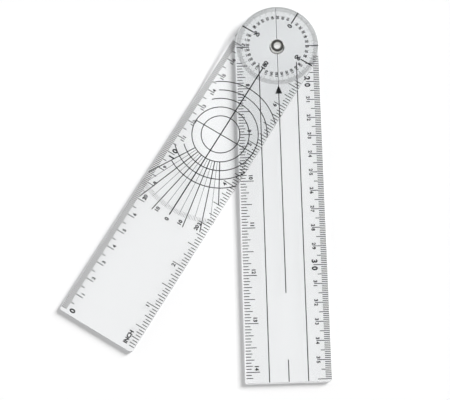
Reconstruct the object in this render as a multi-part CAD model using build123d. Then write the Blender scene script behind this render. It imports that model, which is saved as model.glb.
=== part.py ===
from build123d import *
import os

# Goniometer: two clear plastic strips that turn on one hollow metal eyelet.
# The lower strip carries the pointer, and the upper strip carries the dial.
# The origin is on the pivot axis, in the lower face of the pointer arm.
# +Z runs along the pivot axis, up through the dial, and the pointer arm lies along -Y.
# Lengths are in millimetres and angles in degrees.

# Strips: the rulers fix their reach from the pivot
arm_width = 44.0
ruler_half = 180.0
tip_margin = 1.2
pointer_thickness = 1.5
dial_thickness = 1.5
tip_corner_radius = 1.6
edge_break = 0.2

# Angle between the strips in the photograph, with the dial arm swung towards -X
rest_angle = 33.05

# Eyelet: a thin tube with a curled head on top and a rolled end below
eyelet_bore = 3.4
eyelet_wall = 0.35
head_diameter = 7.4
head_curl_radius = 0.5
set_diameter = 5.9

# Washers that the eyelet holds
spacer_diameter = 7.0
spacer_thickness = 0.3
back_washer_diameter = 8.0
back_washer_thickness = 0.3

# Clearance round the tube, in every hole that it passes through
running_clearance = 0.05

# Main marks, pressed into the upper face of each strip: fine marks and figures are only printed
mark_depth = 0.1
mark_width = 0.25
bold_width = 0.4
mark_edge_gap = 0.4

# Rulers: opened straight, each runs from the dial arm's tip, past the pivot, to the pointer's tip
ruler_start = 12.0
half_centimetre = 5.0
quarter_inch = 6.35
centimetre_marks = (7.0, 5.0)
inch_marks = (7.0, 4.3, 5.7, 4.3)

# Dial round the pivot, read at the strip's round rim
dial_step = 10
dial_ring_inner = 18.2
dial_quarter_inner = 14.6
centre_line_end = 109.0

# Angle graph on the dial arm: rings, each with the reach that the figures on its left leave it
# above and below the cross line, and a fan of lines, each with its angle and its outer end
graph_centre = 57.8
graph_rings = ((10.2, 10.4, 10.4), (15.1, 15.3, 15.3), (19.9, 14.0, 13.7), (24.6, 13.5, 17.8), (29.4, 17.5, 14.5))
graph_fan = ((-30, 43.0), (-20, 54.2), (-10, 54.2), (10, 54.2), (20, 54.2), (30, 38.8))
graph_fan_inner = 15.1
cross_line_left = 15.0

# Reading lines, side marks and arrowhead on the pointer arm, and the bare place in its centre line
reading_line_offset = 10.0
reading_line_start = 9.0
side_mark_inner = 15.0
arrow_tip = 21.9
arrow_length = 4.4
arrow_width = 3.2
bare_start = 134.5
bare_end = 169.5

# Levels up the pivot axis
pointer_top = pointer_thickness
dial_bottom = pointer_top + spacer_thickness
dial_top = dial_bottom + dial_thickness
set_seat = -back_washer_thickness

# Radii of the tube and of the holes that clear it
bore_radius = eyelet_bore / 2
tube_radius = bore_radius + eyelet_wall
tube_middle = bore_radius + eyelet_wall / 2
clearance_hole = tube_radius + running_clearance

# Limits of the strips and of the marks on them
arm_half = arm_width / 2
arm_reach = ruler_half + tip_margin
mark_edge = arm_half - mark_edge_gap
mark_tip = arm_reach - mark_edge_gap
mark_hub = spacer_diameter / 2 + running_clearance


# Strip with a round head about the pivot and a square tip with softened corners
def arm_blank(thickness):
    outline = Circle(arm_half) + Pos(0, -arm_reach / 2) * Rectangle(arm_width, arm_reach)
    tip_corners = outline.vertices().sort_by(Axis.Y)[:2]
    outline = fillet(tip_corners, tip_corner_radius)
    blank = extrude(outline, thickness)
    rims = blank.edges().filter_by(Axis.Z, reverse=True)
    blank = chamfer(rims, edge_break)
    return blank - Cylinder(clearance_hole, 4 * thickness)


# Marks are flat shapes first, and are pressed into a strip together
def pressed(blank, thickness, marks):
    pattern = extrude(Sketch() + marks, 2 * mark_depth)
    return blank - Pos(0, 0, thickness - mark_depth) * pattern


# Mark along a strip between two distances from the pivot, at an offset to one side
def lengthwise_mark(offset, start, end, width=mark_width):
    return Pos(offset, -(start + end) / 2) * Rectangle(width, end - start)


# Mark on a ray from a centre on the strip's middle line: angle 0 points to the tip
def radial_mark(centre, angle, inner, outer):
    return Pos(0, -centre) * Rot(0, 0, angle) * lengthwise_mark(0, inner, outer)


# Ruler marks along one edge: side is -1 or 1, way is the way that the ruler counts from its zero
def ruler_marks(side, way, pitch, lengths):
    marks = []
    for count in range(1, int(2 * ruler_half / pitch) + 1):
        distance = way * (count * pitch - ruler_half)
        length = lengths[count % len(lengths)]
        place = Pos(side * (mark_edge - length / 2), -distance)
        if distance >= ruler_start:
            marks.append(place * Rectangle(length, mark_width))
    return marks


def dial_marks():
    marks = []
    for angle in range(0, 360, dial_step):
        inner = dial_quarter_inner if angle % 90 == 0 else dial_ring_inner
        marks.append(radial_mark(0, angle, inner, mark_edge))
    return marks


# A ring of the graph runs to the strip's edge on the right, and stops short of the figures on its left
def graph_ring(radius, left_above, left_below):
    ring = Circle(radius + mark_width / 2) - Circle(radius - mark_width / 2)
    tall = radius + mark_width
    above = Pos((mark_edge - left_above) / 2, tall / 2) * Rectangle(mark_edge + left_above, tall)
    below = Pos((mark_edge - left_below) / 2, -tall / 2) * Rectangle(mark_edge + left_below, tall)
    return Pos(0, -graph_centre) * (ring & (above + below))


def graph_marks():
    marks = [graph_ring(*ring) for ring in graph_rings]
    marks += [radial_mark(graph_centre, angle, graph_fan_inner, outer) for angle, outer in graph_fan]
    cross_length = mark_edge + cross_line_left
    cross_line = Rectangle(cross_length, mark_width)
    marks.append(Pos((mark_edge - cross_line_left) / 2, -graph_centre) * cross_line)
    return marks


def dial_arm():
    marks = dial_marks() + graph_marks()
    marks += ruler_marks(-1, -1, half_centimetre, centimetre_marks)
    marks += ruler_marks(1, -1, quarter_inch, inch_marks)
    marks.append(lengthwise_mark(0, dial_quarter_inner, centre_line_end, bold_width))
    strip = pressed(arm_blank(dial_thickness), dial_thickness, marks)
    return Pos(0, 0, dial_bottom) * Rot(0, 0, -rest_angle) * strip


def pointer_arm():
    marks = ruler_marks(1, 1, half_centimetre, centimetre_marks)
    marks += ruler_marks(-1, 1, quarter_inch, inch_marks)
    for offset in (-reading_line_offset, reading_line_offset):
        marks.append(lengthwise_mark(offset, reading_line_start, mark_tip))
    for start, end in ((-mark_edge, -mark_hub), (mark_hub, bare_start), (bare_end, mark_tip)):
        marks.append(lengthwise_mark(0, start, end))
    for angle in (-90, 90):
        marks.append(radial_mark(0, angle, side_mark_inner, mark_edge))
    arrow_base = -arrow_tip - arrow_length
    corners = ((0, -arrow_tip), (-arrow_width / 2, arrow_base), (arrow_width / 2, arrow_base))
    marks.append(make_face(Polyline(*corners, close=True)))
    return pressed(arm_blank(pointer_thickness), pointer_thickness, marks)


# Sheet metal that leaves the tube, turns outwards over a curl and comes back to its seat.
# Way is 1 for a curl that stands above its seat and -1 for one that hangs below.
# The hidden hollow under the curl has straight flanks.
def curl(seat, turn_radius, outer_radius, way):
    crest = seat + way * (turn_radius + eyelet_wall / 2)
    hollow = seat + way * (turn_radius - eyelet_wall / 2)
    near = tube_middle + turn_radius
    far = outer_radius - eyelet_wall / 2 - turn_radius
    rim = outer_radius - eyelet_wall
    with BuildSketch(Plane.XZ) as profile:
        with BuildLine():
            RadiusArc((bore_radius, seat), (near, crest), crest - seat)
            if far > near:
                Line((near, crest), (far, crest))
            RadiusArc((far, crest), (outer_radius, seat), crest - seat)
            Polyline((outer_radius, seat), (rim, seat), (far, hollow))
            if far > near:
                Line((far, hollow), (near, hollow))
            Polyline((near, hollow), (tube_radius, seat), (bore_radius, seat))
        make_face()
    return revolve(profile.sketch, Axis.Z)


# The head is formed in the press, and the lower end is rolled over when the joint is set
def eyelet():
    length = dial_top - set_seat
    tube = Cylinder(tube_radius, length) - Cylinder(bore_radius, length)
    tube = Pos(0, 0, (dial_top + set_seat) / 2) * tube
    set_turn_radius = (set_diameter / 2 - eyelet_wall / 2 - tube_middle) / 2
    head = curl(dial_top, head_curl_radius, head_diameter / 2, 1)
    set_end = curl(set_seat, set_turn_radius, set_diameter / 2, -1)
    return head + tube + set_end


def washer(outer_diameter, thickness, bottom):
    ring = Circle(outer_diameter / 2) - Circle(clearance_hole)
    return Pos(0, 0, bottom) * extrude(ring, thickness)


pieces = {
    "pointer_arm": pointer_arm(),
    "dial_arm": dial_arm(),
    "eyelet": eyelet(),
    "spacer_washer": washer(spacer_diameter, spacer_thickness, pointer_top),
    "back_washer": washer(back_washer_diameter, back_washer_thickness, set_seat),
}

os.makedirs("parts", exist_ok=True)
for name, piece in pieces.items():
    piece.label = name
    export_step(piece, f"parts/{name}.step")
    print(name, "volume", round(piece.volume, 3), "mm3")
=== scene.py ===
# %% [markdown]
# # A clear plastic goniometer, dressed around its solids
# Two clear strips turn on one hollow eyelet, and everything you read on them is printed in black.
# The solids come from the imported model. This lesson adds what they lack: the printing, the finishes,
# the light and the camera. All lengths below are in millimetres until the last moment, when `MM`
# turns them into Blender's metres.

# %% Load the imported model
import bpy
from math import acos, cos, degrees, hypot, pi, radians, sin
from mathutils import Matrix, Vector


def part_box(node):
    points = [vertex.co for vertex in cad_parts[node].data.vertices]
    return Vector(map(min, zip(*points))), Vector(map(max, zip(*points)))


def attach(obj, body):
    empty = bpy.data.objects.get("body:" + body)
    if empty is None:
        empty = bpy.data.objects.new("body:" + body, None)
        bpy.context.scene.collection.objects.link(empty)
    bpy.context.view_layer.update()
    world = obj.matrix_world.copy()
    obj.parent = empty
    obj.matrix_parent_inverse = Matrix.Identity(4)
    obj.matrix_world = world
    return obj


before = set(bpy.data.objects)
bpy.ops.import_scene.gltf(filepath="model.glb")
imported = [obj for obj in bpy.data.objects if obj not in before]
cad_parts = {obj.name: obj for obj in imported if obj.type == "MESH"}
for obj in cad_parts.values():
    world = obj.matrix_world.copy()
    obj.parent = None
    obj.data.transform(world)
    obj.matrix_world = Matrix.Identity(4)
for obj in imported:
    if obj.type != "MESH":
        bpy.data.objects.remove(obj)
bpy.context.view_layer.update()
MM = 0.001
print("nodes:", ", ".join(sorted(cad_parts)))

# %% [markdown]
# ## Sizes read from the solids
# The printing has to lie on the strips, so its levels and limits are read from the nodes' boxes
# instead of being typed again. Only the angle between the strips has to be stated, because a box
# can't give it.

# %% Levels and limits of the two strips
pointer_low, pointer_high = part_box("pointer_arm")
dial_low, dial_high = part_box("dial_arm")
pointer_face = pointer_high[2] / MM
dial_face = dial_high[2] / MM
arm_half = pointer_high[0] / MM
arm_reach = -pointer_low[1] / MM
eyelet_low, eyelet_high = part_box("eyelet")
eyelet_radius = eyelet_high[0] / MM
rest_angle = 33.05
print(f"strips {2 * arm_half:.1f} mm wide, reach {arm_reach:.1f} mm from the pivot")
print(f"printed faces at {pointer_face:.1f} and {dial_face:.1f} mm")

# %% [markdown]
# ## Finishes as expressions
# A shader is a graph of nodes, and long graphs are hard to read. Here a number that changes over a
# surface is a `Value`, and Python's own `+ - * /` on it adds the Math nodes. Any other node comes
# from one method, `Finish.node`, which takes the node's type, its settings and its inputs.

# %% A number on a surface, and a material under construction
class Value:
    def __init__(self, tree, socket):
        self.tree = tree
        self.socket = socket

    def math(self, operation, first, second, clamp=False):
        node = self.tree.nodes.new("ShaderNodeMath")
        node.operation = operation
        node.use_clamp = clamp
        for entry, item in zip(node.inputs, (first, second)):
            if isinstance(item, Value):
                self.tree.links.new(item.socket, entry)
            else:
                entry.default_value = item
        return Value(self.tree, node.outputs[0])

    def __add__(self, other):
        return self.math("ADD", self, other)

    __radd__ = __add__

    def __sub__(self, other):
        return self.math("SUBTRACT", self, other)

    def __rsub__(self, other):
        return self.math("SUBTRACT", other, self)

    def __mul__(self, other):
        return self.math("MULTIPLY", self, other)

    __rmul__ = __mul__

    def over(self, edge):
        return self.math("GREATER_THAN", self, edge)

    def largest(self, other):
        return self.math("MAXIMUM", self, other)

    def size(self):
        return self.math("ABSOLUTE", self, 0.0)


class Finish:
    def __init__(self, name):
        self.material = bpy.data.materials.new(name)
        self.material.use_nodes = True
        self.tree = self.material.node_tree
        self.tree.nodes.clear()

    def node(self, kind, settings=None, **entries):
        node = self.tree.nodes.new("ShaderNode" + kind)
        for key, item in (settings or {}).items():
            setattr(node, key, item)
        for key, item in entries.items():
            label = key.replace("_", " ")
            entry = node.inputs[int(key[1:])] if key[1:].isdigit() else node.inputs[label]
            if isinstance(item, Value):
                self.tree.links.new(item.socket, entry)
            else:
                entry.default_value = item
        return node

    def value(self, node, output=0):
        return Value(self.tree, node.outputs[output])

    def noise(self, scale, detail=2.0, stretch=(1, 1, 1)):
        place = self.node("TexCoord")
        mapping = self.node("Mapping", Vector=self.value(place, "Object"), Scale=stretch)
        texture = self.node("TexNoise", Vector=self.value(mapping), Scale=scale, Detail=detail)
        return self.value(texture, "Fac")

    def strip_place(self, angle):
        """Distances across a strip and along it from the pivot, in millimetres."""
        place = self.value(self.node("TexCoord"), "Object")
        about_z = {"rotation_type": "Z_AXIS"}
        turned_back = self.node("VectorRotate", about_z, Vector=place, Angle=-radians(angle))
        split = self.node("SeparateXYZ", Vector=self.value(turned_back))
        return self.value(split, "X") * (1 / MM), self.value(split, "Y") * (-1 / MM)

    def ease(self, amount, start, end):
        """0 before start, 1 after end, and a soft step between them."""
        settings = {"interpolation_type": "SMOOTHSTEP"}
        return self.value(self.node("MapRange", settings, Value=amount, From_Min=start, From_Max=end))

    def distance_from_pivot(self):
        """Distance from the pivot axis, in millimetres."""
        place = self.value(self.node("TexCoord"), "Object")
        flat = self.node("VectorMath", {"operation": "MULTIPLY"}, _0=place, _1=(1 / MM, 1 / MM, 0))
        return self.value(self.node("VectorMath", {"operation": "LENGTH"}, _0=self.value(flat)), "Value")

    def blend(self, share, first, second):
        mixer = self.node("Mix", {"data_type": "RGBA"}, _0=share)
        for entry, colour in ((mixer.inputs[6], first), (mixer.inputs[7], second)):
            if isinstance(colour, Value):
                self.tree.links.new(colour.socket, entry)
            else:
                entry.default_value = (*colour, 1.0)
        return Value(self.tree, mixer.outputs[2])

    def mix_shaders(self, share, first, second):
        return self.value(self.node("MixShader", _0=share, _1=first, _2=second))

    def done(self, surface):
        self.node("OutputMaterial", Surface=surface)
        print("finish:", self.material.name)
        return self.material


# %% [markdown]
# ## Clear plastic
# Polished clear sheet shows itself by its edges and its gloss more than by its colour. The faces let
# nearly all light through with a faint cool tint, and the gloss comes from the sheet's refractive index.
# The sawn edges are rougher and painted a darker grey: partly the denser tint you see along the
# sheet, partly a painted shade for the dark that real edges show. Just inside the long edges, away
# from the pivot, the colour is painted paler up to white, a painted light for the light that gathers
# there in a real sheet. Fine scuffs vary the roughness.
#
# Lamps see a plain version without refraction, because bent light patterns are slow and grainy. Light
# that enters the top of a real sheet can't leave through its walls, so a wall that faces away from a
# low lamp holds most of the light back and casts the dark line beside the strip.

# %% Clear plastic finish
glow_width = 3.0
edge_slope = 0.4
wall_slope = 0.9
wall_share = 0.83
# Painted shade: the darker grey that the sheet's walls are given, also in the lamps' version
painted_edge_shade = (0.52, 0.54, 0.56)


def clear_plastic(name, tint, angle):
    finish = Finish(name)
    normal = finish.value(finish.node("TexCoord"), "Normal")
    upright = finish.value(finish.node("SeparateXYZ", Vector=normal), "Z").size()
    edge = 1 - upright.over(edge_slope)
    across, along = finish.strip_place(angle)
    # Painted light: the colour turns white just inside the long edges, away from the pivot
    glow = finish.ease(across.size(), arm_half - glow_width, arm_half) * finish.ease(along, 0, arm_half)
    scuffs = finish.noise(900, 3, stretch=(1, 0.15, 1))
    patches = finish.noise(25, 2)
    pale = finish.blend(patches, tint, tuple(1.01 * c for c in tint))
    tint_with_painted_light = finish.blend(glow, pale, (1.0, 1.0, 1.0))
    # The walls take the painted shade grey, and the faces take the tint with its painted light
    colour = finish.blend(edge, tint_with_painted_light, painted_edge_shade)
    roughness = 0.01 + 0.04 * scuffs * patches + 0.2 * edge
    sheet = finish.value(finish.node(
        "BsdfPrincipled", Base_Color=colour, Roughness=roughness, IOR=1.49, Transmission_Weight=1.0
    ))
    film = finish.value(finish.node("BsdfTransparent", Color=(0.97, 0.972, 0.975, 1)))
    wall = finish.value(finish.node("BsdfDiffuse", Color=(*painted_edge_shade, 1)))
    leaving = finish.value(finish.node("NewGeometry"), "Backfacing")
    outer_wall = (1 - upright.over(wall_slope)) * finish.distance_from_pivot().over(eyelet_radius)
    lamps = finish.mix_shaders(wall_share * outer_wall * (1 - leaving), film, wall)
    path = finish.node("LightPath")
    seen = finish.mix_shaders(finish.value(path, "Is Diffuse Ray"), sheet, lamps)
    return finish.done(finish.mix_shaders(finish.value(path, "Is Shadow Ray"), seen, lamps))


# %% [markdown]
# ## Ink, plated metal and nylon
# Screen ink is black but never even: it thins out in places and is a little rougher there. The
# eyelet and its washer are nickel plated, with faint stains in the colour and a fine grain in the
# gloss that the press leaves. Nylon is milky and soft.

# %% Ink, metal and nylon finishes
def printing_ink():
    finish = Finish("black_printing")
    speckle = finish.noise(6000, 2)
    patches = finish.noise(180, 2)
    colour = finish.blend(speckle * patches, (0.003, 0.003, 0.004), (0.018, 0.018, 0.02))
    shader = finish.node("BsdfPrincipled", Base_Color=colour, Roughness=0.45 + 0.25 * speckle)
    return finish.done(finish.value(shader))


def plated_metal():
    finish = Finish("nickel_plate")
    grain = finish.noise(2500, 3, stretch=(1, 1, 0.2))
    stains = finish.noise(700, 2)
    colour = finish.blend(stains, (0.7, 0.69, 0.67), (0.84, 0.83, 0.81))
    shader = finish.node(
        "BsdfPrincipled", Base_Color=colour, Metallic=1.0, Roughness=0.08 + 0.12 * grain
    )
    return finish.done(finish.value(shader))


def milky_nylon():
    finish = Finish("milky_nylon")
    mottle = finish.noise(1500, 2)
    colour = finish.blend(mottle, (0.8, 0.8, 0.77), (0.88, 0.88, 0.86))
    shader = finish.node("BsdfPrincipled", Base_Color=colour, Roughness=0.4 + 0.1 * mottle)
    return finish.done(finish.value(shader))


# %% [markdown]
# ## Dressing the solids
# Each strip has its own tint, and the lower one is a shade darker. Only the
# strips cast shadows here. The ink and the small metal parts lie so close to the clear sheets and the
# table that the real ones leave no shadow that you would notice.

# %% Put the finishes on the solids
ink = printing_ink()
dial_sheet = clear_plastic("clear_plastic_dial_arm", (0.979, 0.986, 0.988), -rest_angle)
pointer_sheet = clear_plastic("clear_plastic_pointer_arm", (0.97, 0.978, 0.981), 0)
metal = plated_metal()
nylon = milky_nylon()
node_finishes = {
    "pointer_arm": pointer_sheet,
    "dial_arm": dial_sheet,
    "eyelet": metal,
    "back_washer": metal,
    "spacer_washer": nylon,
}
for name, finish in node_finishes.items():
    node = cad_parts[name]
    node.visible_shadow = name in ("pointer_arm", "dial_arm")
    for place in node.material_slots:
        place.material = finish
print("dressed", len(node_finishes), "solids")

# %% [markdown]
# ## Printing as thin solids
# Every printed line is a thin bar of ink, sunk a little into the sheet and standing a hair proud of
# it. A bar starts as a cube primitive set to its size, and its upper rim is bevelled, as wet ink
# rounds off while it dries. Marks that repeat are modelled once and copied, each copy with its own
# mesh, and the copies of one scale are joined into one piece.
# Each scale is laid out on a strip that points along -Y, with distances measured from the pivot,
# and moved to its own strip at the end.

# %% Layout of a strip, and moving finished printing onto it
ink_proud = 0.012
ink_sunk = 0.03
line_width = 0.49
bold_width = 0.64
tick_width = 0.4
edge_gap = 0.22
strips = {
    "dial": (dial_face, -rest_angle, "dial_body"),
    "pointer": (pointer_face, 0.0, "pointer_body"),
}


def only(*objects):
    bpy.ops.object.select_all(action="DESELECT")
    for item in objects:
        item.select_set(True)
    bpy.context.view_layer.objects.active = objects[0]


def joined(parts):
    only(*parts)
    if len(parts) > 1:
        bpy.ops.object.join()
    return bpy.context.view_layer.objects.active


def settle(strip, name, parts):
    face, angle, body = strips[strip]
    piece = joined(parts)
    piece.name = f"{strip}_{name}"
    piece.data.name = piece.name
    piece.rotation_euler = (0, 0, radians(angle))
    piece.location = (0, 0, face * MM)
    only(piece)
    bpy.ops.object.transform_apply(location=True, rotation=True, scale=True)
    piece.data.materials.clear()
    piece.data.materials.append(ink)
    piece.visible_shadow = False
    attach(piece, body)
    print(f"{piece.name}: {len(piece.data.polygons)} faces")
    return piece


# %% Straight bars of ink
def pick(made, wanted):
    """Leave only the wanted corners of a mesh selected for edit mode."""
    for parts in (made.data.edges, made.data.polygons):
        parts.foreach_set("select", [False] * len(parts))
    for corner in made.data.vertices:
        corner.select = wanted(corner.co)


def bar(across, start, end, width=line_width):
    """A bar along the strip, at a distance across it, between two distances from the pivot."""
    bpy.ops.object.select_all(action="DESELECT")
    depth = ink_proud + ink_sunk
    middle = (across * MM, -(start + end) / 2 * MM, (ink_proud - ink_sunk) / 2 * MM)
    size = (width * MM, abs(end - start) * MM, depth * MM)
    bpy.ops.mesh.primitive_cube_add(size=1, location=middle, scale=size)
    made = bpy.context.view_layer.objects.active
    only(made)
    bpy.ops.object.transform_apply(location=True, rotation=True, scale=True)
    pick(made, lambda place: place.z > 0)
    bpy.ops.object.mode_set(mode="EDIT")
    bpy.ops.mesh.bevel(offset=ink_proud / 2 * MM, affect="EDGES")
    bpy.ops.object.mode_set(mode="OBJECT")
    return made


def crossbar(side, length, distance, width=tick_width):
    """A bar across the strip from one edge inwards, for a ruler."""
    outer = side * (arm_half - edge_gap)
    inner = outer - side * length
    made = bar(0, -abs(length) / 2, abs(length) / 2, width)
    made.data.transform(Matrix.Rotation(pi / 2, 4, "Z"))
    made.data.transform(Matrix.Translation(((outer + inner) / 2 * MM, -distance * MM, 0)))
    return made


def copy_of(model, move):
    made = model.copy()
    made.data = model.data.copy()
    bpy.context.collection.objects.link(made)
    made.data.transform(move)
    return made


def turned(degrees_round, centre=0.0):
    """The move that turns a mark about a centre on the strip's middle line."""
    about = Vector((0, -centre * MM, 0))
    turn = Matrix.Rotation(radians(degrees_round), 4, "Z")
    return Matrix.Translation(about) @ turn @ Matrix.Translation(-about)


# %% [markdown]
# ## Rulers
# Opened straight, the tool is a 36 cm and 14 in ruler with the pivot at 18 cm. The dial arm carries
# the low numbers, counted from its tip, and the pointer arm carries the high ones. One function
# makes any of the four scales: a few model ticks of the right lengths, and a copy at each step.

# %% Ticks along an edge
ruler_half = 180.0
millimetre_ticks = {10: 7.0, 5: 5.0, 1: 3.0}
sixteenth_ticks = {16: 7.0, 8: 5.7, 4: 4.3, 2: 3.4, 1: 2.8}
sixteenth = 25.4 / 16


def ruler_ticks(strip, name, side, way, pitch, lengths, first, last):
    models = {step: crossbar(side, length, 0) for step, length in lengths.items()}
    ticks = []
    for count in range(1, int(2 * ruler_half / pitch) + 1):
        distance = way * (count * pitch - ruler_half)
        if first <= distance <= last:
            step = next(s for s in lengths if count % s == 0)
            ticks.append(copy_of(models[step], Matrix.Translation((0, -distance * MM, 0))))
    for model in models.values():
        bpy.data.objects.remove(model)
    return settle(strip, name, ticks)


ruler_ticks("dial", "millimetre_ticks", -1, -1, 1.0, millimetre_ticks, 10.0, 179.5)
ruler_ticks("dial", "inch_ticks", 1, -1, sixteenth, sixteenth_ticks, 11.0, 179.5)
ruler_ticks("pointer", "millimetre_ticks", 1, 1, 1.0, millimetre_ticks, 6.0, 180.0)
ruler_ticks("pointer", "inch_ticks", -1, 1, sixteenth, sixteenth_ticks, 8.0, 179.5)

# %% [markdown]
# ## Figures
# Figures start as text objects in Blender's own plain font, given a little thickness, and are made
# meshes straight away. A model figure 0 is measured once, so that each label can be asked for by
# the height of its figures on the real tool.

# %% Text made mesh
figure_boldness = 0.045


def text_mesh(words, resolution=3):
    bpy.ops.object.select_all(action="DESELECT")
    bpy.ops.object.text_add()
    label = bpy.context.view_layer.objects.active
    label.data.body = words
    label.data.align_x = "CENTER"
    label.data.align_y = "CENTER"
    label.data.resolution_u = resolution
    label.data.offset = figure_boldness
    only(label)
    bpy.ops.object.convert(target="MESH")
    return bpy.context.view_layer.objects.active


model_zero = text_mesh("0")
font_height = model_zero.dimensions.y
bpy.data.objects.remove(model_zero)
print(f"the font's figures are {font_height:.3f} of its size")


def figures(words, height, across, distance, turn):
    """A label centred on a place on the strip, turned anticlockwise by an angle."""
    label = text_mesh(words)
    corners = [v.co for v in label.data.vertices]
    middle = Vector((
        (min(c.x for c in corners) + max(c.x for c in corners)) / 2,
        (min(c.y for c in corners) + max(c.y for c in corners)) / 2,
        0,
    ))
    size = height / font_height * MM
    place = Matrix.Translation((across * MM, -distance * MM, -ink_sunk * MM))
    spin = Matrix.Rotation(radians(turn), 4, "Z")
    shrink = Matrix.Diagonal((size, size, 1, 1))
    label.data.transform(place @ spin @ shrink @ Matrix.Translation(-middle))
    only(label)
    bpy.ops.object.mode_set(mode="EDIT")
    bpy.ops.mesh.select_all(action="SELECT")
    bpy.ops.mesh.extrude_region_move(
        TRANSFORM_OT_translate={"value": (0, 0, (ink_proud + ink_sunk) * MM)}
    )
    bpy.ops.mesh.select_all(action="SELECT")
    bpy.ops.mesh.normals_make_consistent(inside=False)
    bpy.ops.object.mode_set(mode="OBJECT")
    return label


# %% Figures along the rulers
towards_pivot = 90
towards_tip = -90
small_figure = 2.0
small_spacing = 2.3
large_figure = 3.2
large_spacing = 3.8
inch_figure = 2.2
dial_small_across = -15.5
dial_large_across = -15.6
dial_inch_across = 16.0
pointer_centimetre_across = 15.4
pointer_inch_across = -16.3


def straddling(words, height, spacing, across, distance, turn):
    """Two figures, one each side of their tick."""
    way = -1 if turn == towards_pivot else 1
    return [
        figures(words[0], height, across, distance - way * spacing / 2, turn),
        figures(words[1], height, across, distance + way * spacing / 2, turn),
    ]


def dial_centimetres():
    labels = [figures("0", 3.3, dial_large_across, 178.5, towards_pivot)]
    for number in range(1, 18):
        distance = ruler_half - 10 * number
        if number == 10:
            spacing, across = large_spacing, dial_large_across
            labels += straddling("10", large_figure, spacing, across, distance, towards_pivot)
        elif number < 10:
            place = (dial_small_across, distance - 1.7)
            labels.append(figures(str(number), small_figure, *place, towards_pivot))
        else:
            spacing, across = small_spacing, dial_small_across
            labels += straddling(str(number), small_figure, spacing, across, distance, towards_pivot)
    return labels


def dial_inches():
    labels = [figures("INCH", 2.4, 16.2, 174.9, towards_pivot)]
    for number in range(1, 7):
        distance = ruler_half - 25.4 * number
        place = (dial_inch_across, distance + 1.4)
        labels.append(figures(str(number), inch_figure, *place, towards_pivot))
    return labels


def pointer_centimetres():
    labels = []
    for number in range(20, 36):
        height, spacing = small_figure, small_spacing
        if number % 10 == 0:
            height, spacing = large_figure, large_spacing
        distance = 10 * number - ruler_half
        across = pointer_centimetre_across
        labels += straddling(str(number), height, spacing, across, distance, towards_tip)
    return labels


def pointer_inches():
    labels = []
    for number in range(8, 15):
        distance = 25.4 * number - ruler_half
        place = (pointer_inch_across, distance - 2.0)
        labels.append(figures(str(number), inch_figure, *place, towards_tip))
    return labels


settle("dial", "centimetre_figures", dial_centimetres())
settle("dial", "inch_figures", dial_inches())
settle("pointer", "centimetre_figures", pointer_centimetres())
settle("pointer", "inch_figures", pointer_inches())

# %% [markdown]
# ## The dial
# The round head carries two scales from 0 to 180 degrees, one each way. A ring of one-degree ticks
# runs just inside the rim, small figures stand every ten degrees, and bold ones mark the quarters.

# %% Dial ring and figures
ring_outer = 21.7
degree_ticks = {10: 18.4, 5: 19.0, 1: 19.4}
degree_width = 0.1
quarter_inner = 14.6
degree_figure = 1.5
two_figure_radius = 16.0
three_figure_radius = 16.15


def dial_ring():
    models = {step: bar(0, inner, ring_outer, degree_width) for step, inner in degree_ticks.items()}
    ticks = []
    for angle in range(360):
        if angle % 90:
            step = next(s for s in degree_ticks if angle % s == 0)
            ticks.append(copy_of(models[step], turned(angle)))
    for model in models.values():
        bpy.data.objects.remove(model)
    return ticks


def dial_lines():
    lines = [bar(0, quarter_inner, ring_outer, bold_width)]
    return [copy_of(lines[0], turned(angle)) for angle in (90, 180, 270)] + lines


def radial_figures(words, height, radius, angle):
    """Figures read along a ray towards the pivot: angle 0 points to the tip."""
    around = radians(angle)
    return figures(words, height, radius * sin(around), radius * cos(around), angle + 90)


def dial_figures():
    labels = []
    for number in range(10, 180, 10):
        if number == 90:
            continue
        radius = two_figure_radius if number < 100 else three_figure_radius
        for side in (-1, 1):
            labels.append(radial_figures(str(number), degree_figure, radius, 180 - side * number))
    return labels


def quarter_figures():
    labels = [radial_figures("0", 2.8, 13.0, 180), radial_figures("180", 2.6, 12.6, 0)]
    for side in (-90, 90):
        labels.append(radial_figures("90", 2.6, 12.8, side))
    return labels


settle("dial", "degree_ring", dial_ring())
settle("dial", "quarter_lines", dial_lines())
settle("dial", "degree_figures", dial_figures())
settle("dial", "quarter_figures", quarter_figures())

# %% [markdown]
# ## The angle graph
# Below the dial, the strip carries a graph of rings and a fan of lines about one centre. A ring is a
# small upright rectangle of ink spun about that centre. The large rings stop at the figures on one
# side and at the edge on the other, so each is spun only through the angles that stay inside. Fine
# ticks cross the fan near its outer end, one for each degree.

# %% Arcs of ink by spinning a profile
graph_centre = 57.8


def arc(radius, start, end, centre=graph_centre, width=line_width):
    """An arc about a centre on the middle line, anticlockwise from start to end, where 0 is +X."""
    bpy.ops.object.select_all(action="DESELECT")
    middle = (radius * MM, 0, (ink_proud - ink_sunk) / 2 * MM)
    size = (width * MM, (ink_proud + ink_sunk) * MM, 1)
    bpy.ops.mesh.primitive_plane_add(size=1, rotation=(pi / 2, 0, 0), location=middle)
    made = bpy.context.view_layer.objects.active
    made.scale = size
    only(made)
    bpy.ops.object.transform_apply(location=True, rotation=True, scale=True)
    made.data.transform(Matrix.Rotation(radians(start), 4, "Z"))
    whole = end - start >= 360
    steps = max(12, round(abs(end - start) * (0.2 + radius / 60)))
    bpy.ops.object.mode_set(mode="EDIT")
    bpy.ops.mesh.select_all(action="SELECT")
    if whole:
        bpy.ops.mesh.delete(type="ONLY_FACE")
        bpy.ops.mesh.select_all(action="SELECT")
    bpy.ops.mesh.spin(steps=steps, angle=-radians(end - start), center=(0, 0, 0), axis=(0, 0, 1))
    bpy.ops.mesh.select_all(action="SELECT")
    bpy.ops.mesh.remove_doubles(threshold=1e-6)
    bpy.ops.mesh.normals_make_consistent(inside=False)
    bpy.ops.object.mode_set(mode="OBJECT")
    made.data.transform(Matrix.Translation((0, -centre * MM, 0)))
    return made


# %% Rings, cross line and fan
ring_right = arm_half - edge_gap
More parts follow.
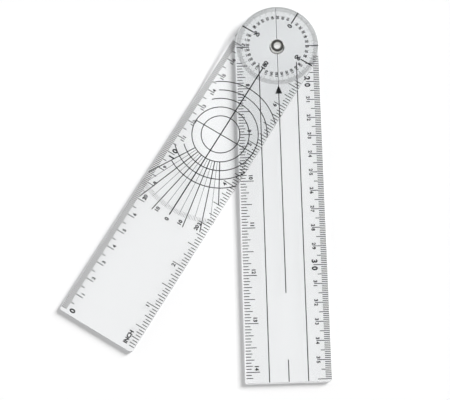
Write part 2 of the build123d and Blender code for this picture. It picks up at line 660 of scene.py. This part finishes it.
# Each ring has its radius, and how far left it reaches above and below the cross line
graph_rings = (
    (10.2, 10.4, 10.4),
    (15.1, 15.3, 15.3),
    (19.9, 14.0, 13.7),
    (24.6, 13.5, 17.8),
    (29.4, 17.5, 14.5),
)
fan_inner = 15.1
fan_lines = ((-30, 43.2), (-20, 54.2), (-10, 54.2), (10, 54.2), (20, 54.2), (30, 38.8))
faint_lines = ((-25, 45.0), (-15, 49.0), (-5, 49.0), (5, 49.0), (15, 49.0), (25, 45.0))
faint_width = 0.2
fan_tick_inner = 46.5
fan_tick_outer = 49.0
fan_tick_width = 0.12
fan_figure_radius = 52.2
fan_figure_lean = 2.4
cross_left = 15.0
centre_line_end = 109.0


def graph_ring_arcs():
    arcs = []
    for radius, left_above, left_below in graph_rings:
        right = degrees(acos(min(1.0, ring_right / radius)))
        above = degrees(acos(-min(1.0, left_above / radius)))
        below = degrees(acos(-min(1.0, left_below / radius)))
        if above > 179.9:
            arcs.append(arc(radius, 0, 360))
        elif right < 0.1:
            arcs.append(arc(radius, -below, above))
        else:
            arcs.append(arc(radius, right, above))
            arcs.append(arc(radius, -below, -right))
    return arcs


def fan(lines, width):
    return [
        copy_and_drop(bar(0, graph_centre + fan_inner, graph_centre + outer, width), angle)
        for angle, outer in lines
    ]


def copy_and_drop(model, angle):
    made = copy_of(model, turned(angle, graph_centre))
    bpy.data.objects.remove(model)
    return made


def cross_and_centre():
    cross = bar(0, -(ring_right + cross_left) / 2, (ring_right + cross_left) / 2)
    cross.data.transform(Matrix.Rotation(pi / 2, 4, "Z"))
    middle = (ring_right - cross_left) / 2
    cross.data.transform(Matrix.Translation((middle * MM, -graph_centre * MM, 0)))
    return [cross, bar(0, ring_outer, centre_line_end, bold_width)]


def fan_ring():
    inner = graph_centre + fan_tick_inner
    model = bar(0, inner, graph_centre + fan_tick_outer, fan_tick_width)
    ticks = [copy_of(model, turned(angle, graph_centre)) for angle in range(-27, 28) if angle % 10]
    bpy.data.objects.remove(model)
    return ticks


def fan_figures():
    labels = [figures("0", 2.4, 0, 111.6, towards_pivot)]
    for angle in (-20, -10, 10, 20):
        lean = fan_figure_lean if angle > 0 else -fan_figure_lean
        around = radians(angle - lean)
        across = fan_figure_radius * sin(around)
        distance = graph_centre + fan_figure_radius * cos(around)
        labels.append(figures(str(abs(angle)), 2.2, across, distance, towards_pivot))
    return labels


settle("dial", "graph_rings", graph_ring_arcs())
settle("dial", "graph_fan", fan(fan_lines, line_width))
settle("dial", "graph_faint_fan", fan(faint_lines, faint_width))
settle("dial", "graph_cross_and_centre", cross_and_centre())
settle("dial", "graph_degree_ring", fan_ring())
settle("dial", "graph_figures", fan_figures())

# %% [markdown]
# ## The pointer arm's lines
# Three long lines run down the lower strip. The middle one passes under the eyelet as the reading
# line of the dial, thinner there, and meets the dial's rim in a solid arrowhead. It is broken near
# the tip, where the strip is bare.

# %% Reading lines and arrowhead
arrow_tip = 21.8
arrow_base = 26.4
arrow_half = 1.8
thin_width = 0.27
reading_line_offset = 10.0
reading_line_start = 9.0
side_mark_inner = 15.0
bare_start = 134.5
bare_end = 169.5


def reading_lines():
    tip = arm_reach - edge_gap
    offsets = (-reading_line_offset, reading_line_offset)
    lines = [bar(across, reading_line_start, tip) for across in offsets]
    lines.append(bar(0, -ring_outer, -eyelet_radius, thin_width))
    lines.append(bar(0, eyelet_radius, arrow_tip, thin_width))
    lines += [bar(0, arrow_tip, bare_start), bar(0, bare_end, tip)]
    side = bar(0, side_mark_inner, ring_outer)
    lines += [copy_of(side, turned(angle)) for angle in (-90, 90)]
    bpy.data.objects.remove(side)
    return lines


def arrowhead():
    head = bar(0, arrow_tip, arrow_base, 2 * arrow_half)
    front = -(arrow_tip + ink_proud) * MM
    pick(head, lambda place: place.y > front)
    bpy.ops.object.mode_set(mode="EDIT")
    bpy.ops.transform.resize(value=(0.02, 1, 1), center_override=(0, front, 0))
    bpy.ops.object.mode_set(mode="OBJECT")
    return head


settle("pointer", "reading_lines", reading_lines())
settle("pointer", "arrowhead", [arrowhead()])

# %% [markdown]
# ## Table, light and camera
# A real strip is a little limp, so it lies flat although the eyelet's rolled end stands out below it
# and the dial arm starts one sheet higher. Here the strips are stiff and the white mat gives way
# instead: the back washer lies on it, the rolled end sinks into a small dimple, and it rises beside
# the pointer arm until it meets the dial arm.
#
# A low, broad lamp from the upper right of the picture gives the soft shadows beside the strips. The
# sky is pale near the horizon, paler on the left, and dark overhead, so that black ink stays black
# although its gloss reflects what is above it, and the eyelet's curl shows a dark crest between
# bright flanks.

# %% A soft mat under the eyelet and both arms
mat_gap = 0.02
rise_start = 2.0
rise_length = 26.0
dimple_radius = 3.0
dimple_edge = 0.6
washer_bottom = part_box("back_washer")[0][2] / MM
dial_bottom = dial_low[2] / MM
eyelet_bottom = eyelet_low[2] / MM


def eased(share):
    """A share from 0 to 1 with a soft start and a soft end."""
    share = min(1.0, max(0.0, share))
    return share * share * (3 - 2 * share)


def mat_height(x, y):
    rise = eased((-arm_half - rise_start - x) / rise_length)
    dimple = 1 - eased((hypot(x, y) - dimple_radius) / dimple_edge)
    lift = rise * (dial_bottom - washer_bottom) - dimple * (washer_bottom - eyelet_bottom)
    return washer_bottom - mat_gap + lift


def spread(share):
    """Grid lines crowd near the pivot, where the mat bends, and run far apart at its rim."""
    return share * (0.004 + 0.996 * share ** 4)


bpy.ops.object.select_all(action="DESELECT")
bpy.ops.mesh.primitive_grid_add(x_subdivisions=300, y_subdivisions=300, size=2)
table = bpy.context.view_layer.objects.active
table.name = "table"
mat_half = 4000.0
for corner in table.data.vertices:
    x = mat_half * spread(corner.co.x)
    y = mat_half * spread(corner.co.y)
    corner.co = (x * MM, y * MM, mat_height(x, y) * MM)
only(table)
bpy.ops.object.shade_smooth()
print(f"the mat lies between {mat_height(0, 0):.2f} and {mat_height(-200, 0):.2f} mm")


# %% White table that keeps its shadows
def seen_directly(tree):
    """1 where the table is looked at, also in a gloss or through the sheets, and 0 for its own light."""
    path = tree.nodes.new("ShaderNodeLightPath")
    seen = Value(tree, path.outputs["Is Camera Ray"])
    for name in ("Is Glossy Ray", "Is Transmission Ray"):
        seen = seen.largest(Value(tree, path.outputs[name]))
    scattered = Value(tree, path.outputs["Diffuse Depth"]).over(0.5)
    return seen * (1 - scattered)


table_glow = 0.05
table_finish = Finish("white_table")
paint = table_finish.value(table_finish.node("BsdfDiffuse", Color=(0.9, 0.9, 0.9, 1)))
seen = seen_directly(table_finish.tree)
glow = table_finish.value(
    table_finish.node("Emission", Color=(1, 1, 1, 1), Strength=table_glow * seen)
)
table.data.materials.append(table_finish.done(table_finish.value(
    table_finish.node("AddShader", _0=paint, _1=glow)
)))

print(f"table of {2 * mat_half / 1000:.0f} m, lifted by {table_glow} where it is looked at")

# %% Sky that is pale at the horizon and dark overhead
zenith_strength = 0.03
horizon_strength = 0.9
left_gain = 0.75
sky = bpy.data.worlds.new("pale_sky")
bpy.context.scene.world = sky
sky.use_nodes = True
background = sky.node_tree.nodes["Background"]
direction = sky.node_tree.nodes.new("ShaderNodeTexCoord")
split = sky.node_tree.nodes.new("ShaderNodeSeparateXYZ")
sky.node_tree.links.new(direction.outputs["Generated"], split.inputs["Vector"])
height = Value(sky.node_tree, split.outputs["Z"]).size()
rightwards = Value(sky.node_tree, split.outputs["X"])
sky_strength = zenith_strength + (1 - height) * (horizon_strength - left_gain * rightwards)
sky.node_tree.links.new(sky_strength.socket, background.inputs["Strength"])
background.inputs["Color"].default_value = (1, 1, 1, 1)
print(f"sky from {zenith_strength} overhead to {horizon_strength + left_gain:.2f} on the left")

# %% Lamp and camera
def view_turn():
    roll = Matrix.Rotation(radians(1.72), 3, "Z")
    tilt = Matrix.Rotation(radians(-14.94), 3, "X")
    turn = Matrix.Rotation(radians(-0.07), 3, "Z")
    return roll @ tilt @ turn


view = view_turn()
picture_to_row = view.transposed()
camera_data = bpy.data.cameras.new("camera")
camera = bpy.data.objects.new("camera", camera_data)
bpy.context.collection.objects.link(camera)
picture_width = 450
focal_pixels = 2019.4
camera_data.sensor_width = 36.0
camera_data.lens = focal_pixels / picture_width * camera_data.sensor_width
pivot_in_view = Vector((27.8, 82.1, -1078.4))
reading_level = (pointer_face + dial_face) / 2
place = (picture_to_row @ -pivot_in_view + Vector((0, 0, reading_level))) * MM
camera.matrix_world = Matrix.Translation(place) @ picture_to_row.to_4x4()
bpy.context.scene.camera = camera
print("camera at", [round(c, 3) for c in place])

lamp_data = bpy.data.lights.new("low_lamp", "SUN")
lamp_data.energy = 5.9
lamp_data.angle = radians(22)
lamp = bpy.data.objects.new("low_lamp", lamp_data)
bpy.context.collection.objects.link(lamp)
lamp.visible_glossy = False
lamp_height = radians(23)
lamp_side_way = radians(33)
towards_lamp = Vector((
    cos(lamp_height) * cos(lamp_side_way), cos(lamp_height) * sin(lamp_side_way), sin(lamp_height)
))
lamp.rotation_euler = towards_lamp.to_track_quat("Z", "Y").to_euler()
bpy.context.scene.view_settings.view_transform = "Standard"
